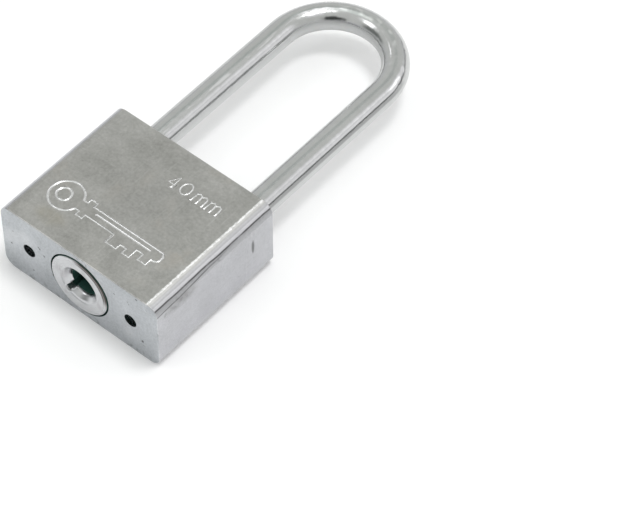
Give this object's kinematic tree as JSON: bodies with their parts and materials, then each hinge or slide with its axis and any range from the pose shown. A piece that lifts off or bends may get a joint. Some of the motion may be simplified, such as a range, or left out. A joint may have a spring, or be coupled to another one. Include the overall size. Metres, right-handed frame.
{
  "type": "padlock",
  "caption": "Small square steel padlock with a long round shackle, a round turning cylinder in its lower end and two locking balls.",
  "frame": {"origin": "middle of the flat back face of the lock body, on which the lock lies", "axes": "+X across the shackle legs towards the toe leg, +Y along the legs towards the bend, +Z through the thickness towards the front face"},
  "size_m": [0.04, 0.0901, 0.0173],
  "materials": {
    "body_steel": "satin nickel plating",
    "pin_steel": "hardened and tumbled",
    "spring_steel": "bright spring steel",
    "chromed_shackle": "polished chrome plating",
    "ball_steel": "ground bearing steel",
    "nickel_face": "turned, bright nickel plating",
    "sintered_steel": "sintered and oiled",
    "hardened_disc": "hardened",
    "spacer_steel": "rolled strip",
    "disc_brass": "stamped brass"
  },
  "bodies": {
    "lock_body": {"body": "body_steel", "channel_plug": "body_steel", "heel_pin": "pin_steel", "snap_ring": "spring_steel", "shackle_spring": "spring_steel"},
    "shackle": {"shackle": "chromed_shackle"},
    "left_ball": {"ball_left": "ball_steel"},
    "right_ball": {"ball_right": "ball_steel"},
    "cylinder": {"cylinder_drum": "nickel_face", "ball_driver": "sintered_steel", "guard_disc": "hardened_disc", "disc_spring": "spring_steel", "spacer_1": "spacer_steel", "spacer_2": "spacer_steel", "spacer_3": "spacer_steel", "spacer_4": "spacer_steel", "spacer_5": "spacer_steel", "spacer_6": "spacer_steel", "spacer_7": "spacer_steel"},
    "sidebar": {"sidebar": "pin_steel"},
    "disc_1": {"disc_1": "disc_brass"},
    "disc_2": {"disc_2": "disc_brass"},
    "disc_3": {"disc_3": "disc_brass"},
    "disc_4": {"disc_4": "disc_brass"},
    "disc_5": {"disc_5": "disc_brass"},
    "disc_6": {"disc_6": "disc_brass"}
  },
  "joints": [
    {"name": "cylinder_turn", "type": "hinge", "parent": "lock_body", "child": "cylinder", "pos_m": [0, 0, 0.00865], "axis": [0, 1, 0], "range_deg": [0, 90]},
    {"name": "shackle_lift", "type": "slide", "parent": "lock_body", "child": "shackle", "axis": [0, 1, 0], "range_m": [0, 0.0101], "deforming": ["shackle_spring"]},
    {"name": "ball_left_slide", "type": "slide", "parent": "lock_body", "child": "left_ball", "axis": [1, 0, 0], "range_m": [0, 0.0042]},
    {"name": "ball_right_slide", "type": "slide", "parent": "lock_body", "child": "right_ball", "axis": [-1, 0, 0], "range_m": [0, 0.0042]},
    {"name": "sidebar_drop", "type": "slide", "parent": "cylinder", "child": "sidebar", "axis": [-0.7071, 0, 0.7071], "range_m": [0, 0.0016]},
    {"name": "disc_1_turn", "type": "hinge", "parent": "cylinder", "child": "disc_1", "pos_m": [0, 0, 0.00865], "axis": [0, 1, 0], "range_deg": [-15, 0]},
    {"name": "disc_2_turn", "type": "hinge", "parent": "cylinder", "child": "disc_2", "pos_m": [0, 0, 0.00865], "axis": [0, 1, 0], "range_deg": [-60, 0]},
    {"name": "disc_3_turn", "type": "hinge", "parent": "cylinder", "child": "disc_3", "pos_m": [0, 0, 0.00865], "axis": [0, 1, 0], "range_deg": [-30, 0]},
    {"name": "disc_4_turn", "type": "hinge", "parent": "cylinder", "child": "disc_4", "pos_m": [0, 0, 0.00865], "axis": [0, 1, 0], "range_deg": [-75, 0]},
    {"name": "disc_5_turn", "type": "hinge", "parent": "cylinder", "child": "disc_5", "pos_m": [0, 0, 0.00865], "axis": [0, 1, 0], "range_deg": [-45, 0]},
    {"name": "disc_6_turn", "type": "hinge", "parent": "cylinder", "child": "disc_6", "pos_m": [0, 0, 0.00865], "axis": [0, 1, 0], "range_deg": [-60, 0]}
  ],
  "couplings": [
    {"joint": "cylinder_turn", "follows": "shackle_lift", "rad_per_m": 155.52},
    {"joint": "ball_left_slide", "follows": "shackle_lift", "ratio": 0.41584},
    {"joint": "ball_right_slide", "follows": "shackle_lift", "ratio": 0.41584},
    {"joint": "sidebar_drop", "follows": "shackle_lift", "ratio": 0.15842}
  ]
}
